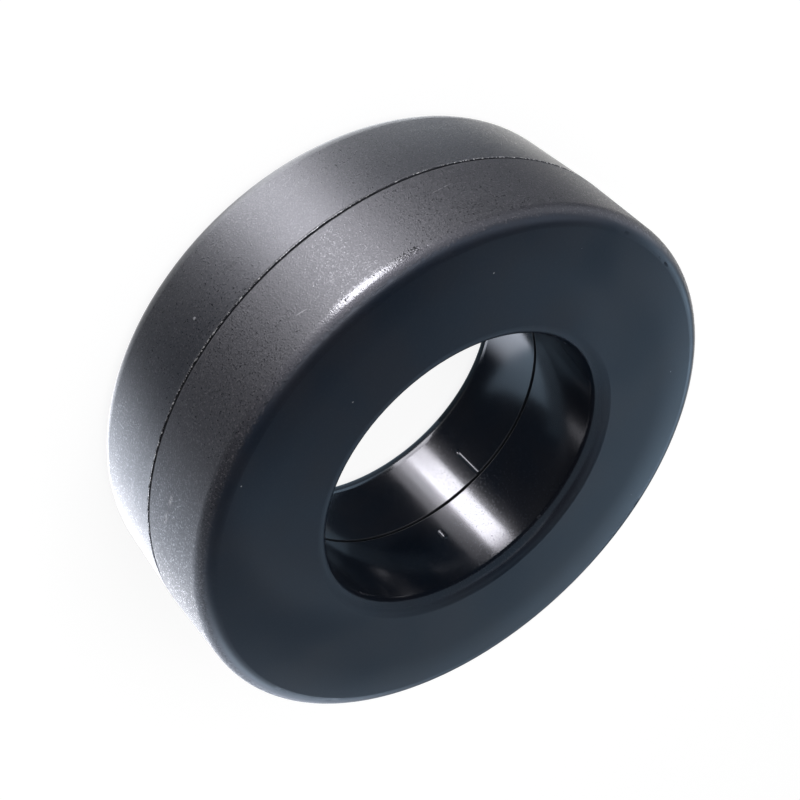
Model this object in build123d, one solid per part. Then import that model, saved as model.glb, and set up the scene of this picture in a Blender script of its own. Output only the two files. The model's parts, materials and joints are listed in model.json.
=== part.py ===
from build123d import *
import os
from math import radians, tan

# A ring core in a moulded two-part case. The ring lies on its rear face, its axis is +Z, and the
# origin is the middle of the rear face. Lengths are in millimetres, angles in degrees. The core is a
# standard ring, so its sizes drive the case round it.

# Core
core_diameter = 63.0
core_width = 11.0           # radial, from the core's hole to its outside
core_height = 20.0
core_round = 1.0            # tumbled edges

# Soft rings at the core's two ends
cushion_thickness = 0.5
cushion_margin = 0.4        # from the cushion's edges to the core's rounded edges

# Case walls and the channel that holds the core
tread_clearance = 1.2       # core to the tread wall, at the seam
bore_clearance = 1.0        # core to the bore wall, at the seam
tread_wall = 1.3
bore_wall = 1.3
end_wall = 1.6
tread_draft = 1.6           # each half narrows away from the seam, so that it leaves its mould
channel_draft = 1.0         # of the bore wall's channel side; the bore itself is straight
least_inside_round = 0.5

# Case, outside
rear_depth = 12.8           # rear face to the tread's seam
bore_seam_drop = 0.8        # the seam in the bore lies this much nearer the rear face
rear_tread_round = 2.5
rear_bore_round = 2.8
front_tread_round = 1.9
front_bore_round = 1.75

# Lap joint of the two halves: tongues of the rear half inside skirts of the front half
skirt_wall = 0.6
lap_play = 0.1              # between a tongue and the skirt round it
tongue_height = 1.8
bore_tongue_play = 0.1      # above the tongue beside the bore, so that only the outer one seats
seam_gap = 0.22
seam_chamfer = 0.1
snap_round = 0.3            # half-round bead on the outer tongue, which clicks into the skirt
snap_height = 0.14
snap_play = 0.04

# Ribs inside the tread wall, which centre the core
rib_count = 8
rib_width = 1.2
rib_root = 0.5              # how far a rib reaches into the wall that carries it
core_play = 0.1             # between the ribs and the core

# Marks of the moulding in the bore
ridge_angle = 183.4
ridge_length = 4.1          # from the seam towards the rear face
ridge_round = 0.42
ridge_height = 0.16
pit_round = 0.45            # small pit where the ridge ends
pit_depth = 0.2
pip_angle = 156.2
pip_from_seam = 3.6
pip_length = 0.85           # between the centres of its two round ends
pip_round = 0.6
pip_height = 0.16

# Radii and heights that follow
core_radius = core_diameter / 2
core_hole_radius = core_radius - core_width
tread_radius = core_radius + tread_clearance + tread_wall
bore_radius = core_hole_radius - bore_clearance - bore_wall
case_height = core_height + 2 * (cushion_thickness + end_wall)
front_depth = case_height - rear_depth
bore_seam_height = rear_depth - bore_seam_drop


def inside_round(outside_round, wall):
    """Rounding of an inside corner, which keeps the wall even round the outside one."""
    return max(outside_round - wall, least_inside_round)


def corner_at(section, point):
    """The section's corner that lies at a point."""
    return section.vertices().sort_by_distance((*point, 0))[0]


def rounded(section, corners):
    """Round the section's corners, given as (point, radius)."""
    for point, radius in corners:
        section = fillet(corner_at(section, point), radius)
    return section


def eased(section, points):
    """Break the section's sharp seam edges with a small chamfer."""
    for point in points:
        section = chamfer(corner_at(section, point), seam_chamfer)
    return section


def cup_section(tread_rim, bore_rim, tread_round, bore_round, tread_step, bore_step, lap_wall):
    """Half section of one annular cup, standing on its end face: x is the radius, y the height.

    A step above zero is a tongue on the channel's side of the wall, below zero the skirt's relief.
    lap_wall is what the wall keeps on the outside, beside that step.
    """
    narrowing = tread_rim * tan(radians(tread_draft))
    thickening = (bore_rim - end_wall) * tan(radians(channel_draft))
    channel_outside = tread_radius - tread_wall
    channel_inside = bore_radius + bore_wall
    bore_top = (bore_radius, bore_rim)
    bore_foot = (bore_radius, 0)
    tread_foot = (tread_radius - narrowing, 0)
    tread_top = (tread_radius, tread_rim)
    outer_floor = (channel_outside - narrowing, end_wall)
    inner_floor = (channel_inside + thickening, end_wall)
    outline = Polyline(
        bore_top,
        bore_foot,
        tread_foot,
        tread_top,
        (tread_radius - lap_wall, tread_rim),
        (tread_radius - lap_wall, tread_rim + tread_step),
        (channel_outside, tread_rim + tread_step),
        outer_floor,
        inner_floor,
        (channel_inside, bore_rim + bore_step),
        (bore_radius + lap_wall, bore_rim + bore_step),
        (bore_radius + lap_wall, bore_rim),
        close=True,
    )
    section = rounded(make_face(outline), [
        (bore_foot, bore_round),
        (tread_foot, tread_round),
        (outer_floor, inside_round(tread_round, tread_wall)),
        (inner_floor, inside_round(bore_round, bore_wall)),
    ])
    return eased(section, [tread_top, bore_top])


def turned(section):
    """The solid that a half section sweeps round the ring's axis."""
    return revolve(Plane.XZ * section, Axis.Z)


def snap_circle(height, radius):
    """Section of the snap bead on the outer tongue, or of the groove for it in the skirt."""
    tongue_face = tread_radius - skirt_wall - lap_play
    return Pos(tongue_face + snap_height - snap_round, height) * Circle(radius)


def centring_ribs(rim_height):
    """Ribs from the channel's floor to just under the lap joint, spaced evenly round the core."""
    tip = core_radius + core_play
    root = tread_radius - tread_wall - rim_height * tan(radians(tread_draft)) + rib_root
    height = rim_height - tongue_height - end_wall
    rib = Pos((tip + root) / 2, 0, end_wall + height / 2) * Box(root - tip, rib_width, height)
    return [Rot(0, 0, 360 / rib_count * turn) * rib for turn in range(rib_count)]


def on_bore(angle, height, inset):
    """A place on the bore's wall, inset towards the axis and turned to face it."""
    return Rot(0, 0, angle) * Pos(bore_radius - inset, 0, height)


def rear_shell():
    """The deeper half, which the ring lies on, with the tongues of the lap joint."""
    tread_rim = rear_depth - seam_gap / 2
    bore_rim = bore_seam_height - seam_gap / 2
    section = cup_section(
        tread_rim, bore_rim, rear_tread_round, rear_bore_round,
        tongue_height, tongue_height, skirt_wall + lap_play,
    )
    section += snap_circle(tread_rim + tongue_height / 2, snap_round)
    ridge_top = bore_rim - seam_chamfer
    ridge = on_bore(ridge_angle, ridge_top - ridge_length / 2, ridge_height - ridge_round)
    pit = on_bore(ridge_angle, ridge_top - ridge_length - pit_round, pit_round - pit_depth)
    shell = turned(section) + centring_ribs(tread_rim)
    shell += ridge * Cylinder(ridge_round, ridge_length)
    return shell - pit * Sphere(pit_round)


def front_shell():
    """The shallower half, whose face shows, with the skirts of the lap joint."""
    tread_rim = front_depth - seam_gap / 2
    bore_rim = front_depth + bore_seam_drop - seam_gap / 2
    relief = tongue_height - seam_gap
    section = cup_section(
        tread_rim, bore_rim, front_tread_round, front_bore_round,
        -relief, -relief - bore_tongue_play, skirt_wall,
    )
    section -= snap_circle(tread_rim + seam_gap - tongue_height / 2, snap_round + snap_play)
    cup = turned(section) + centring_ribs(tread_rim)
    shell = Pos(0, 0, case_height) * Rot(180, 0, 0) * cup
    pip = on_bore(pip_angle, bore_seam_height + pip_from_seam, pip_height - pip_round)
    shell += pip * Cylinder(pip_round, pip_length)
    for end in (-pip_length / 2, pip_length / 2):
        shell += pip * Pos(0, 0, end) * Sphere(pip_round)
    return shell


def core():
    """Sintered ferrite ring with tumbled edges, held between the two soft rings."""
    middle = Pos(core_radius - core_width / 2, case_height / 2)
    return turned(middle * RectangleRounded(core_width, core_height, core_round))


def cushion(height):
    """Thin soft ring on the flat of one end of the core, from a height up."""
    width = core_width - 2 * (core_round + cushion_margin)
    middle = Pos(core_radius - core_width / 2, height + cushion_thickness / 2)
    return turned(middle * Rectangle(width, cushion_thickness))


os.makedirs("parts", exist_ok=True)
export_step(rear_shell(), "parts/rear_shell.step")
export_step(front_shell(), "parts/front_shell.step")
export_step(core(), "parts/core.step")
export_step(cushion(end_wall), "parts/rear_cushion.step")
export_step(cushion(case_height - end_wall - cushion_thickness), "parts/front_cushion.step")
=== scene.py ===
# %% [markdown]
# A ring core in a moulded black case
#
# The object is a ring of ferrite sealed in a two-part plastic case. The solids are already exact: both
# half shells, the seam between them and the roundings of their edges. What is left to do here is to
# make the plastic look like plastic, and black plastic shows very little colour of its own. Nearly all
# that the eye sees on it is reflected light, so the surroundings get as much care as the surfaces.
#
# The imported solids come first. They stay where they are, and everything else is placed round them.

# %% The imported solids
import json
from math import cos, pi, radians, sin

import bmesh
import bpy
from mathutils import Matrix, Vector


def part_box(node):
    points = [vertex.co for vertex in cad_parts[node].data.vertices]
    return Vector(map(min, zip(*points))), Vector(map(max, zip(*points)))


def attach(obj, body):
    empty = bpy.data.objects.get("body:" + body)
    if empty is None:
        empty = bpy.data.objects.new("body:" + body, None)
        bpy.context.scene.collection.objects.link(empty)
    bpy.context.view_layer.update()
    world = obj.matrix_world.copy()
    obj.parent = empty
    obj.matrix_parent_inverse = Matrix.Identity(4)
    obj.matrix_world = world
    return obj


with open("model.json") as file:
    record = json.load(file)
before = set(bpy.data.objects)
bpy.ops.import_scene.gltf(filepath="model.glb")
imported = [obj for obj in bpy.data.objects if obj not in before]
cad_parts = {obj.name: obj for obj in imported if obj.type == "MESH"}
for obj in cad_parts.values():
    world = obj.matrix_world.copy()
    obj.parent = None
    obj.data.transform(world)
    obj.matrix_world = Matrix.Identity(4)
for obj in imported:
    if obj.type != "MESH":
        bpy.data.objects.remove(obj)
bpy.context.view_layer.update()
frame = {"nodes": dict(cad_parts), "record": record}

MM = 0.001

nodes = frame["nodes"]
for name in sorted(nodes):
    low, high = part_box(name)
    print(name, [round(side / MM, 2) for side in high - low], "mm")

# %% [markdown]
# Sizes of the case
#
# Finishes depend on a place, such as the grain that ends on a rounding, so they need the case's sizes.
# The outside and the bore are read from the solids and their record. The heights of the two seams are
# the design's own numbers, because the shells overlap in a lap joint and their boxes don't tell both.
# In the bore the seam lies a little nearer the rear face.

# %% Sizes of the case
tread_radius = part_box("rear_shell")[1].x
case_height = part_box("front_shell")[1].z
bore_radius = frame["record"]["mounts"][0]["dims"]["r_mm"] * MM
seam_height = 12.8 * MM
bore_seam_height = 12.0 * MM
seam_gap = 0.22 * MM
print("tread radius", round(tread_radius / MM, 2), "bore radius", round(bore_radius / MM, 2),
      "height", round(case_height / MM, 2), "mm")

# %% [markdown]
# The camera
#
# The ring lies flat here, but the photograph was taken of a ring that stood on its tread. A camera
# sees only where it is from the ring, so the same picture comes from a camera that is turned about its
# line of sight as well. It stands a little over two and a half ring diameters away, low enough to look
# into the hole and high enough to see the whole face.
#
# Two points tie the picture to the photograph: where the middle of the outer seam falls in it, and
# where the lens points. They differ because the photograph was cropped, and lens shift does that.

# %% Camera
photo_side = 800
camera_distance = 180.6 * MM        # from the middle of the outer seam
camera_tilt = radians(52.22)        # away from the ring's axis
camera_roll = radians(135.30)
focal_pixels = 1549.4
seam_middle_pixel = Vector((414.1, 420.1))
lens_pixel = Vector((385.0, 320.0))
sensor_width = 36.0

outwards = Vector((sin(camera_tilt), 0, cos(camera_tilt)))
seam_middle = Vector((0, 0, seam_height))
forward = -outwards
level_up = (Vector((0, 0, 1)) - forward.z * forward).normalized()
level_right = forward.cross(level_up)
right = cos(camera_roll) * level_right + sin(camera_roll) * level_up
up = cos(camera_roll) * level_up - sin(camera_roll) * level_right

offset = seam_middle_pixel - lens_pixel
to_seam = Vector((offset.x, -offset.y, focal_pixels))
aim = Vector((0, 0, 1)).rotation_difference(to_seam).to_matrix()
right, up, forward = aim @ Matrix((right, up, forward))

camera_data = bpy.data.cameras.new("camera")
camera_data.sensor_width = sensor_width
camera_data.lens = focal_pixels / photo_side * sensor_width
camera_data.shift_x = 0.5 - lens_pixel.x / photo_side
camera_data.shift_y = lens_pixel.y / photo_side - 0.5
camera_data.clip_start = 10 * MM
camera = bpy.data.objects.new("camera", camera_data)
camera.matrix_world = (
    Matrix.Translation(seam_middle + camera_distance * outwards)
    @ Matrix((right, up, -forward)).transposed().to_4x4()
)
bpy.context.scene.collection.objects.link(camera)
bpy.context.scene.camera = camera
bpy.context.scene.view_settings.view_transform = "Standard"
print("lens", round(camera_data.lens, 2), "mm, shift",
      round(camera_data.shift_x, 3), round(camera_data.shift_y, 3))

# %% [markdown]
# Nodes by short helpers
#
# Materials and the world are graphs of nodes. Helpers keep them readable. One adds a node and fills
# its inputs, with a link where the value is another node's output. The others are built on it, one for
# each kind of sum, fade and mix, so that a line of code reads like the thought behind it.

# %% Node helpers
def add_node(tree, kind, inputs=(), **settings):
    """A node of a kind, with settings on the node itself and inputs by name or number."""
    node = tree.nodes.new("ShaderNode" + kind)
    for name, value in settings.items():
        setattr(node, name, value)
    for name, value in dict(inputs).items():
        if isinstance(value, bpy.types.NodeSocket):
            tree.links.new(value, node.inputs[name])
        else:
            node.inputs[name].default_value = value
    return node


def reckon(tree, operation, first, second=0.0):
    """The result of a Math node."""
    return add_node(tree, "Math", {0: first, 1: second}, operation=operation).outputs[0]


def vector(tree, operation, first, second=(0, 0, 0), output="Vector"):
    """The result of a Vector Math node."""
    return add_node(tree, "VectorMath", {0: first, 1: second}, operation=operation).outputs[output]


def scaled(tree, first, factor):
    """A vector times a number."""
    return add_node(tree, "VectorMath", {0: first, "Scale": factor}, operation="SCALE").outputs[0]


def fade(tree, value, start, end, low=0.0, high=1.0):
    """A smooth change from low to high as value goes from start to end."""
    inputs = {"Value": value, "From Min": start, "From Max": end, "To Min": low, "To Max": high}
    return add_node(tree, "MapRange", inputs, interpolation_type="SMOOTHSTEP").outputs["Result"]


def blend(tree, factor, first, second):
    """A number between two, by a factor from 0 to 1."""
    return add_node(tree, "Mix", {"Factor": factor, 2: first, 3: second}, data_type="FLOAT").outputs[0]


def blend_colour(tree, factor, first, second):
    """A colour between two, by a factor from 0 to 1."""
    colours = [(*c, 1) if isinstance(c, tuple) else c for c in (first, second)]
    mix = add_node(tree, "Mix", {"Factor": factor, 6: colours[0], 7: colours[1]}, data_type="RGBA")
    return mix.outputs[2]


def new_material(name):
    """A material and its node tree, still empty."""
    material = bpy.data.materials.new(name)
    material.use_nodes = True
    material.node_tree.nodes.clear()
    return material, material.node_tree


# %% [markdown]
# Walls of light
#
# A lamp gives the soft light from above and the shadow. The rest is a studio for reflections alone.
# The ring of the photograph stood on its tread, so what lay level with it there, a long box of light on
# one side and a white wall on the other, is below the floor here. So the floor is left out of the
# reflections, and the walls and the boxes are seen through it.
#
# A wall is a range of azimuths and elevations round the ring, where azimuth 0 is the camera's side and
# elevation 0 is level. Its edges are soft because a grained or matt surface shows no sharp pictures,
# and because a real wall brightens and fades slowly.

# %% Walls of light
walls = [                   # azimuth, half width, bottom, top, brightness, colour
    (125, 33, -60, 24, 1.5, (0.90, 1.0, 1.20)),             # white wall, its dim upper part
    (124, 28, -60, -8, 1.6, (0.94, 1.0, 1.12)),             # its middle
    (122, 25, -62, -48, 2.5, (0.98, 1.0, 1.06)),            # its bright foot
    (152, 16, -60, -30, 3.4, (1.05, 0.99, 0.96)),           # corner of the wall
    (-150, 14, -60, -10, 1.8, (1.02, 1.0, 0.95)),           # reflector on the left
    (-120, 30, -64, -50, 2.3, (0.96, 1.0, 1.06)),           # floor before it
    (-72, 78, -90, -59, 2.4, (0.97, 1.0, 1.05)),            # floor close by
    (-92, 42, -12, 13, 2.1, (0.94, 0.98, 1.12)),            # window on the left
    (-18, 14, -44, 5, 0.6, (1.0, 0.98, 1.04)),              # glow round the long box
    (-18, 29, -5, 25, 4.4, (0.96, 0.94, 1.10)),             # table edge in front
    (-50, 70, 30, 49, 1.3, (0.80, 0.97, 1.25)),             # ceiling
    (-13, 22, 38, 53, 6.0, (0.94, 0.98, 1.10)),             # its lamp
    (180, 50, 12, 21, 1.6, (0.74, 1.0, 1.28)),              # glow that the face mirrors
    (-161, 14, 12, 23, 2.1, (0.72, 1.0, 1.30)),             # its left part
    (142, 18, 10, 26, 1.2, (0.80, 1.0, 1.20)),              # its fainter right part
]
azimuth_softness = 12       # degrees each side of an edge
elevation_softness = 9


def direction(azimuth, elevation):
    """Unit vector towards a place round the ring."""
    a, e = radians(azimuth), radians(elevation)
    return Vector((cos(a) * cos(e), sin(a) * cos(e), sin(e)))


def soft_wall(tree, level_direction, rise, azimuth, half_width, bottom, top):
    """1 inside a range of directions and 0 outside it, with soft edges."""
    cosine = vector(tree, "DOT_PRODUCT", level_direction, direction(azimuth, 0), output="Value")
    near, far = half_width - azimuth_softness, half_width + azimuth_softness
    across = fade(tree, cosine, cos(radians(far)), cos(radians(near)))
    lower = [sin(radians(max(bottom + side * elevation_softness, -90))) for side in (-1, 1)]
    upper = [sin(radians(top + side * elevation_softness)) for side in (-1, 1)]
    over_bottom = fade(tree, rise, *lower)
    under_top = fade(tree, rise, *upper, low=1.0, high=0.0)
    return reckon(tree, "MULTIPLY", across, reckon(tree, "MULTIPLY", over_bottom, under_top))


# %% [markdown]
# The world
#
# The world has three faces. The camera sees plain white, matt surfaces are lit by an even grey, and
# reflections see a dim bluish room with the walls of light in it, and a pale ground straight below.

# %% World
room_brightness = 0.06
room_tint = (0.75, 0.95, 1.30)
ground_brightness = 1.1             # where the roundings look
ground_edge = -74, -54              # full at the first elevation, nothing at the second
diffuse_brightness = 0.45
white = (1, 1, 1, 1)

world = bpy.data.worlds.new("studio")
bpy.context.scene.world = world
world.use_nodes = True
world.cycles.sampling_method = "NONE"
tree = world.node_tree
tree.nodes.clear()
seen_direction = add_node(tree, "TexCoord").outputs["Generated"]
level_direction = vector(tree, "NORMALIZE", vector(tree, "MULTIPLY", seen_direction, (1, 1, 0)))
rise = add_node(tree, "SeparateXYZ", {0: seen_direction}).outputs[2]

mirrored = [part * room_brightness for part in room_tint]
for azimuth, half_width, bottom, top, brightness, colour in walls:
    wall = soft_wall(tree, level_direction, rise, azimuth, half_width, bottom, top)
    light = scaled(tree, colour, reckon(tree, "MULTIPLY", wall, brightness))
    mirrored = vector(tree, "ADD", light, mirrored)
ground = fade(tree, rise, *[sin(radians(e)) for e in ground_edge], ground_brightness, 0.0)
mirrored = vector(tree, "ADD", mirrored, ground)

rays = add_node(tree, "LightPath").outputs
studio = add_node(tree, "Background", {"Color": mirrored}).outputs[0]
even = add_node(tree, "Background", {"Color": white, "Strength": diffuse_brightness}).outputs[0]
backdrop = add_node(tree, "Background", {"Color": white, "Strength": 1.0}).outputs[0]
lit = add_node(tree, "MixShader", {"Fac": rays["Is Glossy Ray"], 1: even, 2: studio}).outputs[0]
straight = reckon(tree, "MAXIMUM", rays["Is Camera Ray"], rays["Is Transmission Ray"])
seen = add_node(tree, "MixShader", {"Fac": straight, 1: lit, 2: backdrop}).outputs[0]
add_node(tree, "OutputWorld", {"Surface": seen})
print("world with", len(walls), "soft walls")

# %% [markdown]
# Lamps
#
# The boxes are area lamps on a sphere round the ring. Brightness 1 shows as white in a perfect mirror,
# and plastic mirrors only about a twentieth, so a box that shows white in the bore needs 20 and more.
# The long box has a bright middle with dimmer lamps laid over its edges, because the streak that it
# makes in the bore fades out to both sides. The key lamp is left out of the reflections.

# %% Lamps
lamp_distance = 0.5
box_colour = (0.97, 0.96, 1.05)
boxes = [                   # name, azimuth, elevation, width, height, brightness
    ("box", -17, -22, 14, 40, 24.0),
    ("box_edge", -16, -21, 22, 38, 2.0),
    ("box_wing", -28, -41, 10, 15, 4.4),
    ("box_wing_end", -32, -38, 16, 14, 2.8),
    ("box_foot", -22, -58, 24, 20, 8.0),
    ("box_head", -18, -16, 28, 16, 16.0),
]


def softbox(name, azimuth, elevation, width, height, brightness, colour=(1, 1, 1), glossy=True):
    """An area lamp that faces the ring. Its width and height are angles, in degrees."""
    lamp_data = bpy.data.lights.new(name, "AREA")
    lamp_data.shape = "RECTANGLE"
    lamp_data.size = lamp_distance * radians(width)
    lamp_data.size_y = lamp_distance * radians(height)
    lamp_data.color = colour
    lamp_data.energy = brightness * pi * lamp_data.size * lamp_data.size_y
    lamp = bpy.data.objects.new(name, lamp_data)
    towards = direction(azimuth, elevation)
    lamp.location = seam_middle + lamp_distance * towards
    lamp.rotation_mode = "QUATERNION"
    lamp.rotation_quaternion = towards.to_track_quat("Z", "Y")
    lamp.visible_camera = False
    lamp.visible_glossy = glossy
    lamp.visible_diffuse = not glossy
    bpy.context.scene.collection.objects.link(lamp)
    return lamp


softbox("key", -25, 55, 45, 45, 2.2, glossy=False)
for box in boxes:
    softbox(*box, box_colour)
print("lamps:", 1 + len(boxes))

# %% [markdown]
# Cards close to the ring
#
# Walls far away look the same from every point of the ring, but the hole mirrors what lies close to
# it, and that was darker. Cards stand in for it, and only reflections see them. A grey one under the
# rear face, beyond the hole, is what one side of the bore mirrors. A black strip under the hole's rear
# rim takes away a second image of the long box. Two dark arcs close under the rear face keep that rim
# from melting into the white behind it.
#
# A dim screen stands on the front face round the hole, taller on the camera's side. The hole's front
# rim mirrors it from across the hole. Everywhere else it is only in the way, so its back lets all light
# through, and its front does so for rays that start right beside it or just graze it. That softens the
# edge of its image on the flat face, which a low view from behind still shows as a darker ring.

# %% Cards
card_tint = (0.74, 1.0, 1.30, 1)
screen_reach = 9 * MM, 20 * MM      # rays up to the first length pass, from the second on they stop
screen_slant = 0.98, 0.80           # the same for the slant: 1 grazes the screen, 0 meets it squarely
one_face = [(0, 1, 2, 3)]


def card(name, places, faces, light, one_sided=False):
    """A card of even light which only reflections see, one-sided or not. Its places are in mm."""
    mesh = bpy.data.meshes.new(name)
    mesh.from_pydata([Vector(p) * MM for p in places], [], faces)
    made = bpy.data.objects.new(name, mesh)
    bpy.context.scene.collection.objects.link(made)
    made.visible_camera = False
    made.visible_diffuse = False
    made.visible_transmission = False
    made.visible_shadow = False
    material, tree = new_material(name)
    shows = add_node(tree, "Emission", {"Color": card_tint, "Strength": light}).outputs[0]
    if one_sided:
        clear = add_node(tree, "BsdfTransparent").outputs[0]
        front = reckon(tree, "SUBTRACT", 1.0, add_node(tree, "NewGeometry").outputs["Backfacing"])
        far = fade(tree, add_node(tree, "LightPath").outputs["Ray Length"], *screen_reach)
        facing = add_node(tree, "LayerWeight", {"Blend": 0.5}).outputs["Facing"]
        square = fade(tree, facing, *screen_slant)
        solid = reckon(tree, "MULTIPLY", front, reckon(tree, "MULTIPLY", far, square))
        shows = add_node(tree, "MixShader", {"Fac": solid, 1: clear, 2: shows}).outputs[0]
    add_node(tree, "OutputMaterial", {"Surface": shows})
    material.cycles.emission_sampling = "NONE"
    mesh.materials.append(material)
    return made


def band_card(name, angles, first_edge, second_edge, light, one_sided=False):
    """A card bent round the axis, between two edges given as (radius, height) in mm."""
    places = []
    for angle in angles:
        a = radians(angle)
        places += [(r * cos(a), r * sin(a), z) for r, z in (first_edge, second_edge)]
    faces = [(i, i + 1, i + 3, i + 2) for i in range(0, len(places) - 2, 2)]
    return card(name, places, faces, light, one_sided)


grey_corners = [(-60, 3, -6), (-8, 3, -6), (-8, 26, -6), (-60, 26, -6)]
strip_corners = [(-13, -10.5, -1.2), (0, -10.5, -1.2), (0, -17, -1.2), (-13, -17, -1.2)]
rim_arc = (16.8, -1.2), (24.0, -1.2)
screen_foot = (25.0, 24.5)
screen_shoulder = (25.0, 62.0)
screen_head = (25.0, 82.0)
screen_light = 0.42
card("grey_card", grey_corners, one_face, 1.1)
card("strip_card", strip_corners, one_face, 0.0)
band_card("rim_card", range(96, 187, 6), *rim_arc, 0.25)
band_card("rim_card_left", range(186, 265, 6), *rim_arc, 0.1)
band_card("screen", range(0, 361, 6), screen_foot, screen_shoulder, screen_light, one_sided=True)
band_card("screen_top", range(-58, 22, 6), screen_shoulder, screen_head, screen_light, one_sided=True)
print("cards stand round the ring, seen by reflections alone")

# %% [markdown]
# The floor
#
# A wide pale disc. Part of its white is light that only the camera sees, and the rest is lit by the
# lamps, so the ring still casts a soft shadow on it and the hole shows a pale ground through it.

# %% Floor
floor_radius = 3.0
floor_light = 0.86          # the share of its white that needs no lamp
floor_grey = 0.22

floor_mesh = bpy.data.meshes.new("floor")
shape = bmesh.new()
bmesh.ops.create_circle(shape, cap_ends=True, segments=64, radius=floor_radius)
shape.to_mesh(floor_mesh)
shape.free()
floor = bpy.data.objects.new("floor", floor_mesh)
bpy.context.scene.collection.objects.link(floor)
floor.visible_glossy = False
floor.visible_shadow = False

floor_material, tree = new_material("pale_floor")
rays = add_node(tree, "LightPath").outputs
straight = reckon(tree, "MAXIMUM", rays["Is Camera Ray"], rays["Is Transmission Ray"])
seen = reckon(tree, "MAXIMUM", straight, rays["Is Glossy Ray"])
glow = add_node(tree, "Emission", {"Strength": reckon(tree, "MULTIPLY", seen, floor_light)}).outputs[0]
matt = add_node(tree, "BsdfDiffuse", {"Color": (floor_grey, floor_grey, floor_grey, 1)}).outputs[0]
both = add_node(tree, "AddShader", {0: glow, 1: matt}).outputs[0]
add_node(tree, "OutputMaterial", {"Surface": both})
floor_material.cycles.emission_sampling = "NONE"
floor_mesh.materials.append(floor_material)
print("floor radius", floor_radius, "m")

# %% [markdown]
# Building blocks for the finishes
#
# Grain, rubs, dust and the turned normals serve more than one material, so each is a shader group:
# built once, with named sockets, and placed in a material with its own values. A group puts out only
# masks, heights and normals. What the plastic does with light stays in the material itself.

# %% Group helpers
def new_group(name, inputs, outputs):
    """An empty shader group with sockets given as (name, kind, default value) and (name, kind)."""
    group = bpy.data.node_groups.new(name, "ShaderNodeTree")
    for socket, kind, value in inputs:
        made = group.interface.new_socket(socket, in_out="INPUT", socket_type="NodeSocket" + kind)
        made.default_value = value
    for socket, kind in outputs:
        group.interface.new_socket(socket, in_out="OUTPUT", socket_type="NodeSocket" + kind)
    return group


def group_inputs(group):
    """The sockets, inside a group, that carry its inputs."""
    return group.nodes.new("NodeGroupInput").outputs


def finish_group(group, outputs):
    """Connect a group's results to its output sockets, by name."""
    last = group.nodes.new("NodeGroupOutput")
    for name, value in outputs.items():
        group.links.new(value, last.inputs[name])


def use_group(tree, group, inputs=()):
    """A group placed in a tree; returns its outputs."""
    return add_node(tree, "Group", inputs, node_tree=group).outputs


def noise(tree, place, size, detail=2.0):
    """Soft random values between 0 and 1, in clumps of about a size."""
    inputs = {"Vector": place, "Scale": 1 / size, "Detail": detail}
    return add_node(tree, "TexNoise", inputs).outputs["Fac"]


def within(tree, value, low, high, softness):
    """1 between two values and 0 outside them, with soft edges."""
    over = fade(tree, value, low - softness, low + softness)
    under = fade(tree, value, high - softness, high + softness, 1, 0)
    return reckon(tree, "MULTIPLY", over, under)


# %% [markdown]
# Turned normals
#
# The solids arrive as facets. Smooth shading hides those, but polished plastic shows the smallest slip
# in a normal as a kink in its reflections, such as where a turned surface closes on itself. The form
# tells what the normal has to be: it lies in the plane through the axis. So the group swings each
# normal into that plane. The small marks in the bore stand across it, and they keep their own.
#
# The tilt leans a normal up or down. The bore of the solids is straight, but each half of a moulded one
# has a trace of draft, so that it leaves its mould, and that breaks the reflection at the seam.

# %% Turned normals
mark_slant = 0.05, 0.08             # how far across the plane a normal of a mark stands

turned_normal = new_group(
    "turned_normal", [("Tilt", "Float", 0.0)], [("Normal", "Vector"), ("Mark", "Float")])
tree = turned_normal
tilt = scaled(tree, (0, 0, 1), group_inputs(tree)["Tilt"])
place = add_node(tree, "TexCoord").outputs
out_from_axis = vector(tree, "NORMALIZE", vector(tree, "MULTIPLY", place["Object"], (1, 1, 0)))
faceted = place["Normal"]
outward_part = vector(tree, "DOT_PRODUCT", faceted, out_from_axis, output="Value")
across_axis = scaled(tree, out_from_axis, outward_part)
along_axis = vector(tree, "MULTIPLY", faceted, (0, 0, 1))
exact = vector(tree, "NORMALIZE", vector(tree, "ADD", across_axis, along_axis))
sideways = vector(tree, "DISTANCE", faceted, exact, output="Value")
is_mark = fade(tree, sideways, *mark_slant)
leaning = vector(tree, "NORMALIZE", vector(tree, "ADD", exact, tilt))
mix = add_node(tree, "Mix", {"Factor": is_mark, 4: leaning, 5: faceted}, data_type="VECTOR")
in_world = add_node(tree, "VectorTransform", {0: mix.outputs[1]}, vector_type="NORMAL").outputs[0]
finish_group(tree, {"Normal": in_world, "Mark": is_mark})
print("group:", turned_normal.name)

# %% [markdown]
# Places on the ring
#
# Where the surface is tells what its mould was like there. The group turns the position into the
# distance from the axis, the height, and a flat map of the tread, unrolled, for marks that run round
# it.

# %% Places on the ring
ring_place = new_group(
    "ring_place", [], [("Radius", "Float"), ("Height", "Float"), ("Unrolled", "Vector")])
tree = ring_place
place = add_node(tree, "TexCoord").outputs["Object"]
x, y, z = add_node(tree, "SeparateXYZ", {0: place}).outputs
radius = vector(tree, "LENGTH", vector(tree, "MULTIPLY", place, (1, 1, 0)), output="Value")
round_it = reckon(tree, "MULTIPLY", reckon(tree, "ARCTAN2", y, x), tread_radius)
unrolled = add_node(tree, "CombineXYZ", {0: round_it, 1: z, 2: radius}).outputs[0]
finish_group(tree, {"Radius": radius, "Height": z, "Unrolled": unrolled})
print("group:", ring_place.name)

# %% [markdown]
# Mould grain
#
# A mould is eroded by sparks, which leave it covered in tiny craters, and the plastic copies them.
# Two sizes of noise make the height. Its highest points come out as a second value, because they are
# pressed hardest against the steel and shine a little more. The case's colour also paints them lighter,
# as painted glints.

# %% Mould grain
coarse_share = 0.65
fine_size = 0.45                    # of the coarse grain's size
peak_heights = 0.52, 0.66

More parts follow.
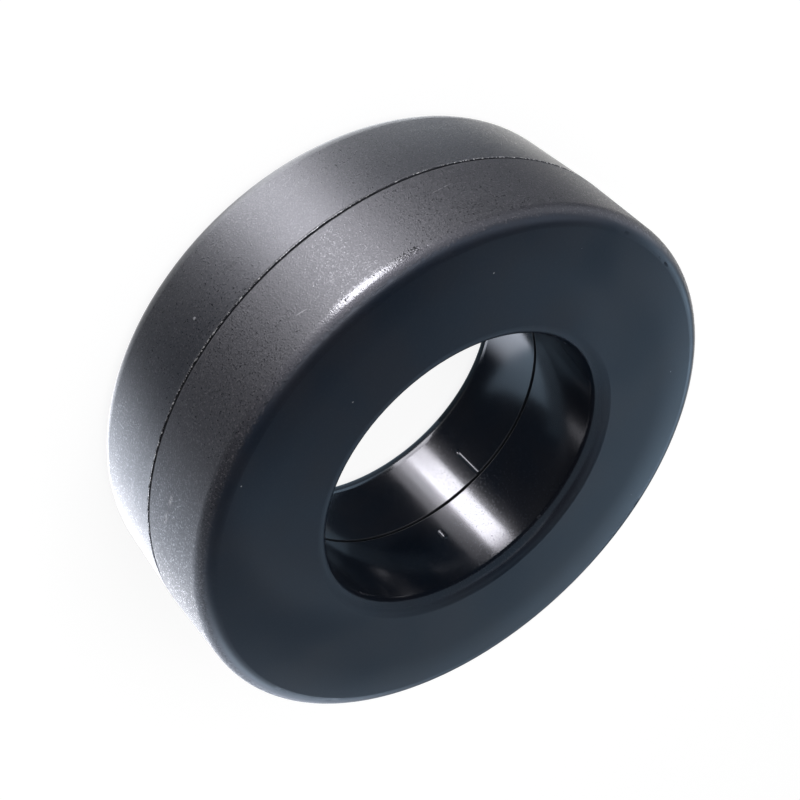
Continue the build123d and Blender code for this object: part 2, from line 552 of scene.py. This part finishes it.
mould_grain = new_group(
    "mould_grain", [("Size", "Float", 0.2 * MM)], [("Height", "Float"), ("Peaks", "Float")])
tree = mould_grain
size = group_inputs(tree)["Size"]
place = add_node(tree, "TexCoord").outputs["Object"]
cube = add_node(tree, "CombineXYZ", {0: size, 1: size, 2: size}).outputs[0]
in_grains = vector(tree, "DIVIDE", place, cube)
coarse = reckon(tree, "MULTIPLY", noise(tree, in_grains, 1.0, 1.0), coarse_share)
fine = reckon(tree, "MULTIPLY", noise(tree, in_grains, fine_size, 1.0), 1 - coarse_share)
height = reckon(tree, "ADD", coarse, fine)
finish_group(tree, {"Height": height, "Peaks": fade(tree, height, *peak_heights)})
print("group:", mould_grain.name)

# %% [markdown]
# Rubs
#
# The case was handled and slid against others. That leaves long faint streaks round the tread, where
# the grain is a little flatter, and cloudy patches where skin touched it. A few scuffs went through
# the grain and show pale. Each is a short slanted line, broken up by the grain.

# %% Rubs and clouds
scuffs = [      # angle and height of the middle, half length in degrees, half width, mm per degree
    (-7.0, 19.6, 2.4, 0.11, -0.20),
    (0.8, 19.9, 1.5, 0.13, -0.20),
    (43.8, 17.0, 2.2, 0.42, -0.12),
    (48.6, 16.5, 2.6, 0.48, -0.12),
    (-33.0, 16.2, 3.0, 0.08, 0.10),
]
streak_squeeze = (0.16, 1.0, 1.0)   # stretches the noise along the tread
streak_size = 1.3 * MM
streak_levels = 0.50, 0.74          # where the noise sets in and where it is full
break_size = 7 * MM
break_levels = 0.42, 0.62
cloud_size = 9 * MM
cloud_levels = 0.35, 0.68
scuff_grain = 0.3 * MM
scuff_levels = 0.35, 0.60


def scuff_mask(tree, round_it, height, angle, middle_height, half_length, half_width, slant):
    """One scuff: 1 in its middle, and less towards its sides and ends."""
    along = reckon(tree, "SUBTRACT", round_it, radians(angle) * tread_radius)
    climb = reckon(tree, "MULTIPLY", along, slant * MM / radians(1) / tread_radius)
    line_height = reckon(tree, "ADD", climb, middle_height * MM)
    off_line = reckon(tree, "ABSOLUTE", reckon(tree, "SUBTRACT", height, line_height))
    off_middle = reckon(tree, "ABSOLUTE", along)
    sides = fade(tree, off_line, 0, half_width * MM, 1, 0)
    ends = fade(tree, off_middle, 0, radians(half_length) * tread_radius, 1, 0)
    return reckon(tree, "MULTIPLY", sides, ends)


rubs = new_group("rubs", [], [("Streaks", "Float"), ("Clouds", "Float"), ("Scuffs", "Float")])
tree = rubs
unrolled = use_group(tree, ring_place)["Unrolled"]
place = add_node(tree, "TexCoord").outputs["Object"]
stretched = vector(tree, "MULTIPLY", unrolled, streak_squeeze)
streaks = fade(tree, noise(tree, stretched, streak_size, 3.0), *streak_levels)
breaks = fade(tree, noise(tree, place, break_size, 1.0), *break_levels)
clouds = fade(tree, noise(tree, place, cloud_size, 3.0), *cloud_levels)
round_it, height, _ = add_node(tree, "SeparateXYZ", {0: unrolled}).outputs
scuffed = 0.0
for scuff in scuffs:
    scuffed = reckon(tree, "MAXIMUM", scuffed, scuff_mask(tree, round_it, height, *scuff))
grains = fade(tree, noise(tree, place, scuff_grain), *scuff_levels)
finish_group(tree, {
    "Streaks": reckon(tree, "MULTIPLY", streaks, breaks),
    "Clouds": clouds,
    "Scuffs": reckon(tree, "MULTIPLY", scuffed, grains),
})
print("group:", rubs.name, "with", len(scuffs), "scuffs")

# %% [markdown]
# A worn spot
#
# On the arris of the front half, close to the camera, the grain has been rubbed until it shines. It
# mirrors the long box as a white streak that breaks up into grains at its ends. The spot is a range of
# angles and heights, with the noise of the grain added to both.

# %% Worn spot
spot_angles = -20.5, -2.0           # round the ring, in degrees
spot_heights = 22.15, 23.30         # in mm
grain_spread = radians(12), 1.3 * MM        # of the angle and of the height
spot_softness = radians(1.5), 0.12 * MM
spot_grain = 0.25 * MM

worn_spot = new_group("worn_spot", [], [("Worn", "Float")])
tree = worn_spot
place = add_node(tree, "TexCoord").outputs["Object"]
x, y, z = add_node(tree, "SeparateXYZ", {0: place}).outputs
grains = reckon(tree, "SUBTRACT", noise(tree, place, spot_grain, 1.0), 0.5)
angle_push, height_push = [reckon(tree, "MULTIPLY", grains, spread) for spread in grain_spread]
angle = reckon(tree, "ADD", reckon(tree, "ARCTAN2", y, x), angle_push)
height = reckon(tree, "ADD", z, height_push)
round_part = within(tree, angle, *[radians(a) for a in spot_angles], spot_softness[0])
height_part = within(tree, height, *[h * MM for h in spot_heights], spot_softness[1])
finish_group(tree, {"Worn": reckon(tree, "MULTIPLY", round_part, height_part)})
print("group:", worn_spot.name)

# %% [markdown]
# Dust
#
# Black plastic shows every speck. Most of them are as small as the grain and lie anywhere, so they
# come from a cell texture, of which only a few cells get a speck. The largest are placed one by one,
# and noise pushes their outlines about so that none is round.

# %% Dust
large_specks = [            # angle round the ring, distance from the axis, height, radius
    (14.8, 34.0, 9.0, 0.26),
    (3.2, 33.8, 21.2, 0.09),
    (-12.0, 33.7, 22.4, 0.08),
    (-27.6, 33.0, 24.0, 0.10),
    (-35.5, 27.8, 24.2, 0.11),
    (7.4, 24.0, 24.2, 0.10),
    (-131.4, 19.9, 24.1, 0.11),
    (32.0, 31.4, 24.2, 0.09),
    (-5.0, 33.9, 9.8, 0.11),
]
dust_cell = 1.7 * MM
least_speck = 0.014                 # radius, as a share of a cell
speck_spread = 0.030
ragged_push = 0.12                  # in mm
ragged_size = 0.25 * MM

dust = new_group("dust", [("Share", "Float", 0.05)], [("Specks", "Float")])
tree = dust
share = group_inputs(tree)["Share"]
place = add_node(tree, "TexCoord").outputs["Object"]
cells = add_node(tree, "TexVoronoi", {"Vector": place, "Scale": 1 / dust_cell}).outputs
chance, own_size, _ = add_node(tree, "SeparateColor", {0: cells["Color"]}).outputs
chosen = reckon(tree, "LESS_THAN", chance, share)
speck_size = reckon(tree, "ADD", reckon(tree, "MULTIPLY", own_size, speck_spread), least_speck)
specks = reckon(tree, "MULTIPLY", chosen, reckon(tree, "LESS_THAN", cells["Distance"], speck_size))
push = add_node(tree, "TexNoise", {"Vector": place, "Scale": 1 / ragged_size}).outputs["Color"]
ragged = vector(tree, "ADD", place, scaled(tree, push, ragged_push * MM))
mean_push = ragged_push / 2
for angle, out, height, size in large_specks:
    middle = direction(angle, 0) * out * MM + Vector((mean_push, mean_push, height + mean_push)) * MM
    away = vector(tree, "DISTANCE", ragged, middle, output="Value")
    specks = reckon(tree, "MAXIMUM", specks, fade(tree, away, size * MM, 0.5 * size * MM))
finish_group(tree, {"Specks": specks})
print("group:", dust.name, "with", len(large_specks), "large specks")

# %% [markdown]
# Zones of the case
#
# The two moulds were finished in three zones. The faces and the roundings of the hole are matt. The
# tread is grained, up to a ragged edge halfway round its front rounding. The bore is polished, so that
# wire slides in it. The two edges of each seam, its lips, are torn and dull, and painted darker as
# painted shade of the seam's gap. Each zone comes out as a mask, 1 where its finish belongs and 0
# elsewhere, made from the distance to the axis and the height.

# %% Zones
tread_edge = tread_radius - 2.6 * MM, tread_radius - 1.6 * MM
grain_start = 1.2 * MM, 3.0 * MM
grain_end = case_height - 0.35 * MM, case_height
grain_raggedness = 0.7 * MM
grain_clump = 0.4 * MM
bore_edge = bore_radius + 0.10 * MM, bore_radius + 0.95 * MM
lip_reach = 0.36 * MM, 0.44 * MM            # from the middle of the seam
lip_raggedness = 0.22 * MM
lip_clump = 0.35 * MM
bore_lip_reach = 0.22 * MM, 0.27 * MM

case_zones = new_group("case_zones", [], [("Tread", "Float"), ("Bore", "Float"), ("Lip", "Float")])
tree = case_zones
ring = use_group(tree, ring_place)
place = add_node(tree, "TexCoord").outputs["Object"]
outside = fade(tree, ring["Radius"], *tread_edge)
bore = fade(tree, ring["Radius"], *bore_edge, 1, 0)
ragged = reckon(tree, "MULTIPLY", noise(tree, place, grain_clump), grain_raggedness)
ragged_height = reckon(tree, "ADD", ring["Height"], ragged)
under_end = fade(tree, ragged_height, *grain_end, 1, 0)
over_start = fade(tree, ragged_height, *grain_start)
tread = reckon(tree, "MULTIPLY", outside, reckon(tree, "MULTIPLY", under_end, over_start))

# the lips: torn and dull, and painted darker as painted shade of the seam's gap
off_seam = reckon(tree, "ABSOLUTE", reckon(tree, "SUBTRACT", ring["Height"], seam_height))
torn = reckon(tree, "MULTIPLY", noise(tree, place, lip_clump), lip_raggedness)
tread_lip = fade(tree, reckon(tree, "ADD", off_seam, torn), *lip_reach, 1, 0)
off_bore_seam = reckon(tree, "ABSOLUTE", reckon(tree, "SUBTRACT", ring["Height"], bore_seam_height))
bore_lip = fade(tree, off_bore_seam, *bore_lip_reach, 1, 0)
tread_lip = reckon(tree, "MULTIPLY", tread_lip, outside)
bore_lip = reckon(tree, "MULTIPLY", bore_lip, bore)
lip = reckon(tree, "ADD", tread_lip, bore_lip)
finish_group(tree, {"Tread": tread, "Bore": bore, "Lip": lip})
print("group:", case_zones.name)

# %% [markdown]
# Slow slopes
#
# Moulded plastic shrinks unevenly as it cools, so no face of it is quite flat. The faces fall a little
# towards their outer rims, and the tread leans in a little more towards the rear. Both come to about a
# fifth of a millimetre, but they turn the reflections by some degrees. Here they are heights for the
# shading alone. Each grows with the square of the distance from where it starts.

# %% Slow slopes
crown_start = 27.0 * MM             # distance from the axis
crown_width = 5.0 * MM
crown_drop = 0.17 * MM
foot_start = 10.0 * MM              # height, and down from there
foot_width = 8.0 * MM
foot_drop = 0.23 * MM
outer_part = 22 * MM, 30 * MM       # distance from the axis, to keep the foot's slope off the bore


def square_drop(tree, distance, width, drop):
    """A height that falls with the square of a distance, by drop at width."""
    return reckon(tree, "MULTIPLY", reckon(tree, "MULTIPLY", distance, distance), -drop / width**2)


slow_slopes = new_group("slow_slopes", [], [("Height", "Float")])
tree = slow_slopes
ring = use_group(tree, ring_place)
beyond = reckon(tree, "MAXIMUM", reckon(tree, "SUBTRACT", ring["Radius"], crown_start), 0.0)
crown = square_drop(tree, beyond, crown_width, crown_drop)
down = reckon(tree, "MAXIMUM", reckon(tree, "SUBTRACT", foot_start, ring["Height"]), 0.0)
foot = square_drop(tree, reckon(tree, "MINIMUM", down, foot_width), foot_width, foot_drop)
outer = fade(tree, ring["Radius"], *outer_part)
finish_group(tree, {"Height": reckon(tree, "ADD", crown, reckon(tree, "MULTIPLY", foot, outer))})
print("group:", slow_slopes.name)

# %% [markdown]
# The case's plastic
#
# One plastic, nearly black. What shows on a real one is the light that its skin mirrors, so the work
# is in the roughness and in the small heights, and the colour changes just enough to look alive, with
# the peaks of the grain painted lighter as painted glints. The rear tread is satin. The front tread
# came from a rougher mould, and its brighter painted glints make it look a little greyer; on its arris
# is the worn spot. Apart from the draft of the bore the rest is the same on both halves, so one
# function makes both finishes.
#
# The colour, the roughness and the relief are worked out one after another. Each starts from the
# face's value and is replaced zone by zone, with the marks last, because they lie on top.

# %% Colour of the case
face_colours = (0.0056, 0.0092, 0.0165), (0.0085, 0.0094, 0.0140)   # clean, and where it was touched
# painted glints: the fine grain's peaks are painted lighter, as if they caught the light
painted_glint_colour = (0.020, 0.024, 0.030)
painted_glint_share = 0.35
scuff_colour = (0.42, 0.41, 0.43)
# painted shade: the seam's lips are painted darker, as the shade of its gap
seam_shade_colour = (0.003, 0.003, 0.004)
dust_colour = (0.30, 0.31, 0.33)


def case_colour(tree, masks, tread_colours_and_glints):
    """The plastic's colour in all zones, under its marks, with painted glints and painted seam shade.
    """
    peaks = masks["fine"]["Peaks"]
    colour = blend_colour(tree, masks["clouds"], *face_colours)
    colour = blend_colour(tree, reckon(tree, "MULTIPLY", peaks, painted_glint_share), colour, painted_glint_colour)
    colour = blend_colour(tree, masks["tread"], colour, blend_colour(tree, peaks, *tread_colours_and_glints))
    colour = blend_colour(tree, masks["scuffs"], colour, scuff_colour)
    colour = blend_colour(tree, masks["lip"], colour, seam_shade_colour)
    return blend_colour(tree, masks["specks"], colour, dust_colour)


# %% [markdown]
# Roughness is what parts the zones: about a sixth in the bore, a third on the faces and nearly a half
# on the tread. There the peaks of the grain are smoother than its valleys. What is torn or dusty is
# dull everywhere.

# %% Roughness of the case
face_roughness = 0.32, 0.38         # clean, and where it was touched
bore_roughness = 0.12, 0.20         # between and on the peaks of the fine grain
bore_touched_roughness = 0.17
mark_roughness = 0.33               # of the moulding marks in the bore
worn_roughness = 0.19
torn_roughness = 0.80
dust_roughness = 0.85
streak_shine = 0.06


def case_roughness(tree, masks, tread_roughness, peak_shine):
    """The plastic's roughness in all zones, under its marks."""
    tread_rough = blend(tree, masks["grain"]["Peaks"], tread_roughness, tread_roughness - peak_shine)
    shine = reckon(tree, "MULTIPLY", masks["streaks"], -streak_shine)
    tread_rough = reckon(tree, "ADD", shine, tread_rough)
    tread_rough = blend(tree, masks["worn"], tread_rough, worn_roughness)
    polished = blend(tree, masks["fine"]["Peaks"], *bore_roughness)
    polished = blend(tree, masks["clouds"], polished, bore_touched_roughness)
    polished = blend(tree, masks["mark"], polished, mark_roughness)
    rough = blend(tree, masks["clouds"], *face_roughness)
    rough = blend(tree, masks["tread"], rough, tread_rough)
    rough = blend(tree, masks["bore"], rough, polished)
    rough = blend(tree, masks["lip"], rough, torn_roughness)
    return blend(tree, masks["specks"], rough, dust_roughness)


# %% [markdown]
# The relief is a height in metres, so the bump needs no scale of its own. The grain on the tread is
# some hundredths of a millimetre deep, the fine grain on the faces a few thousandths, and the bore
# keeps hardly any.

# %% Case plastic
fine_grain = 0.24 * MM
dust_share = 0.045
face_relief = 0.006 * MM
bore_relief = 0.0016 * MM
speck_relief = 0.03 * MM


def case_relief(tree, masks, grain_depth):
    """The height of the grain, the dust and the slow slopes."""
    fine_depth = blend(tree, masks["bore"], face_relief, bore_relief)
    smooth_height = reckon(tree, "MULTIPLY", masks["fine"]["Height"], fine_depth)
    grain_height = reckon(tree, "MULTIPLY", masks["grain"]["Height"], grain_depth)
    relief = blend(tree, masks["tread"], smooth_height, grain_height)
    relief = reckon(tree, "ADD", relief, reckon(tree, "MULTIPLY", masks["specks"], speck_relief))
    return reckon(tree, "ADD", relief, use_group(tree, slow_slopes)["Height"])


def case_plastic(name, tread_roughness, peak_shine, grain_size, grain_depth, tread_colours_and_glints, bore_tilt,
                 torn_and_shaded_share=1.0):
    """The finish of one half of the case."""
    material, tree = new_material(name)
    zones = use_group(tree, case_zones)
    marks = use_group(tree, rubs)
    tilt = reckon(tree, "MULTIPLY", zones["Bore"], bore_tilt)
    turned = use_group(tree, turned_normal, {"Tilt": tilt})
    masks = {
        "tread": zones["Tread"],
        "bore": zones["Bore"],
        "lip": reckon(tree, "MULTIPLY", zones["Lip"], torn_and_shaded_share),
        "streaks": marks["Streaks"],
        "clouds": marks["Clouds"],
        "scuffs": reckon(tree, "MULTIPLY", marks["Scuffs"], zones["Tread"]),
        "worn": use_group(tree, worn_spot)["Worn"],
        "mark": turned["Mark"],
        "specks": use_group(tree, dust, {"Share": dust_share})["Specks"],
        "grain": use_group(tree, mould_grain, {"Size": grain_size}),
        "fine": use_group(tree, mould_grain, {"Size": fine_grain}),
    }
    bump = add_node(tree, "Bump", {
        "Height": case_relief(tree, masks, grain_depth),
        "Strength": 1.0,
        "Distance": 1.0,
        "Normal": turned["Normal"],
    }).outputs[0]
    plastic = add_node(tree, "BsdfPrincipled", {
        "Base Color": case_colour(tree, masks, tread_colours_and_glints),
        "Roughness": case_roughness(tree, masks, tread_roughness, peak_shine),
        "IOR": 1.5,
        "Normal": bump,
    })
    add_node(tree, "OutputMaterial", {"Surface": plastic.outputs[0]})
    return material


# %% [markdown]
# Three finishes come from it. The third is for the burr along the seam. Its grain peaks are painted
# pale, as painted highlights where its edge catches the light, and it has no torn lips of its own.

# %% The case's finishes
# each second tread colour is painted glints, put on the peaks of the tread's grain
satin_case = case_plastic(
    "satin_case", tread_roughness=0.42, peak_shine=0.16, grain_size=0.19 * MM, grain_depth=0.022 * MM,
    tread_colours_and_glints=((0.0050, 0.0065, 0.0105), (0.0480, 0.0460, 0.0540)), bore_tilt=-radians(0.9))
grained_case = case_plastic(
    "grained_case", tread_roughness=0.53, peak_shine=0.26, grain_size=0.19 * MM, grain_depth=0.032 * MM,
    tread_colours_and_glints=((0.0060, 0.0060, 0.0080), (0.0560, 0.0520, 0.0570)), bore_tilt=radians(1.62))
# the burr's pale second colour paints highlights on its grain peaks
burr_case = case_plastic(
    "burr_case", tread_roughness=0.22, peak_shine=0.05, grain_size=0.16 * MM, grain_depth=0.010 * MM,
    tread_colours_and_glints=((0.0100, 0.0100, 0.0120), (0.7000, 0.6900, 0.7100)), bore_tilt=0.0, torn_and_shaded_share=0.0)
print("case finishes:", satin_case.name, grained_case.name, burr_case.name)

# %% [markdown]
# The sealed pieces
#
# Ferrite is pressed powder, sintered like a tile: dull, dark grey and cloudy, with fine pores, which
# are painted darker as painted shade. The two soft rings at its ends are closed-cell foam, whose cut
# cells show as small dimples, painted darker in their middles as painted shade. Nobody sees them with
# the case shut, but whoever opens the model finds the real thing.

# %% Ferrite and foam
ferrite_colours = (0.040, 0.040, 0.045), (0.058, 0.056, 0.060)
# painted shade: the pores are painted darker
pore_shade_colour = (0.012, 0.012, 0.014)
pore_levels = 0.36, 0.44            # of the powder's height
ferrite_roughness = 0.55, 0.9       # outside and inside a pore
powder_size = 0.3 * MM
powder_relief = 0.05 * MM
# painted shade: the foam's cells are painted darker in their dimpled middles
foam_colours_and_shade = (0.06, 0.06, 0.06), (0.11, 0.11, 0.11)
cell_edge = 0.2, 0.7                # distance from a cell's middle, as a share of its size
foam_roughness = 0.9
foam_cell = 0.35 * MM
foam_relief = 0.08 * MM


def finish_with(tree, colour, roughness, height):
    """Complete a plain material from its colour, its roughness and its height in metres."""
    bump = add_node(tree, "Bump", {"Height": height, "Strength": 1.0, "Distance": 1.0}).outputs[0]
    surface = add_node(tree, "BsdfPrincipled", {
        "Base Color": colour, "Roughness": roughness, "Normal": bump,
    })
    add_node(tree, "OutputMaterial", {"Surface": surface.outputs[0]})


ferrite, tree = new_material("sintered_ferrite")
powder = use_group(tree, mould_grain, {"Size": powder_size})["Height"]
clouds = use_group(tree, rubs)["Clouds"]
pores = fade(tree, powder, *pore_levels, 1, 0)
colour = blend_colour(tree, clouds, *ferrite_colours)
colour = blend_colour(tree, pores, colour, pore_shade_colour)
roughness = blend(tree, pores, *ferrite_roughness)
finish_with(tree, colour, roughness, reckon(tree, "MULTIPLY", powder, powder_relief))

foam, tree = new_material("closed_cell_foam")
place = add_node(tree, "TexCoord").outputs["Object"]
cells = add_node(tree, "TexVoronoi", {"Vector": place, "Scale": 1 / foam_cell}).outputs["Distance"]
colour = blend_colour(tree, fade(tree, cells, *cell_edge), *foam_colours_and_shade)
finish_with(tree, colour, foam_roughness, reckon(tree, "MULTIPLY", cells, foam_relief))
print("sealed pieces:", ferrite.name, foam.name)

# %% [markdown]
# Flash along the seam
#
# Where two halves meet, moulding leaves a thin burr that no machined edge has. Here it stands on the
# rim of the rear half and eats into the gap, so the black line of the seam is now thin, now thick, and
# its edge catches the light in short dashes, which its finish adds to with painted highlights. It is a
# ring with a small section whose height wanders. The height is a sum of sine waves with whole numbers
# of turns, so that the ring closes.

# %% Flash
flash_steps = 1440
flash_wall = 0.07                   # the burr's measures are in mm
flash_inset = 0.006
flash_foot = 0.10                   # under the rim
flash_shoulder = 0.06               # under its own top
mean_rise = 0.02                    # over the rim
slow_rise = 0.06
quick_rise = 0.07
least_rise = -0.03
slow_waves = [(3, 1.0, 0.4), (7, 1.0, 2.1), (12, 0.8, 4.0), (19, 0.7, 1.0)]     # turns, weight, start
quick_waves = [(61, 1.0, 0.0), (97, 1.0, 1.7), (143, 0.9, 3.1), (211, 0.8, 5.2), (317, 0.6, 0.9)]


def wander(angle, waves):
    """A value between -1 and 1 that wanders with the angle and closes after a full turn."""
    total = sum(weight for _, weight, _ in waves)
    return sum(weight * sin(count * angle + start) for count, weight, start in waves) / total


def flash_section(angle):
    """The burr's section at an angle, with its foot on the chamfer and its top in the gap."""
    rise = mean_rise + slow_rise * wander(angle, slow_waves) + quick_rise * wander(angle, quick_waves)
    rim = (seam_height - seam_gap / 2) / MM
    foot = rim - flash_foot
    top = rim + max(rise, least_rise)
    outside = tread_radius / MM - flash_inset
    return [
        (outside - flash_wall, foot),
        (outside - 0.3 * flash_wall, foot),
        (outside, foot + 0.004),
        (outside, top - flash_shoulder),
        (outside - 0.65 * flash_wall, top),
        (outside - flash_wall, top - 0.01),
    ]


def turned_strip(name, steps, section_at):
    """A closed ring from the (radius, height) points, in mm, that section_at gives for each angle."""
    shape = bmesh.new()
    rings = []
    for step in range(steps):
        angle = 2 * pi * step / steps
        places = [(r * cos(angle), r * sin(angle), z) for r, z in section_at(angle)]
        rings.append([shape.verts.new(Vector(place) * MM) for place in places])
    for ring, following in zip(rings, rings[1:] + rings[:1]):
        for i in range(len(ring)):
            j = (i + 1) % len(ring)
            shape.faces.new((ring[i], following[i], following[j], ring[j]))
    bmesh.ops.recalc_face_normals(shape, faces=shape.faces)
    mesh = bpy.data.meshes.new(name)
    shape.to_mesh(mesh)
    shape.free()
    mesh.polygons.foreach_set("use_smooth", [True] * len(mesh.polygons))
    strip = bpy.data.objects.new(name, mesh)
    bpy.context.scene.collection.objects.link(strip)
    return strip


seam_flash = turned_strip("seam_flash", flash_steps, flash_section)
seam_flash.data.materials.append(burr_case)
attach(seam_flash, "root")
print("flash:", len(seam_flash.data.polygons), "faces")

# %% [markdown]
# Dressing the solids
#
# The solids keep their shape and place and only get their finish.

# %% Finishes on the solids
def dress(node, material):
    """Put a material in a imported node's slots."""
    slots = nodes[node].material_slots
    for slot in slots:
        slot.material = material
    if not slots:
        nodes[node].data.materials.append(material)


finishes = {
    "rear_shell": satin_case,
    "front_shell": grained_case,
    "core": ferrite,
    "rear_cushion": foam,
    "front_cushion": foam,
}
for node, finish in finishes.items():
    dress(node, finish)
    print(node, "in", finish.name)
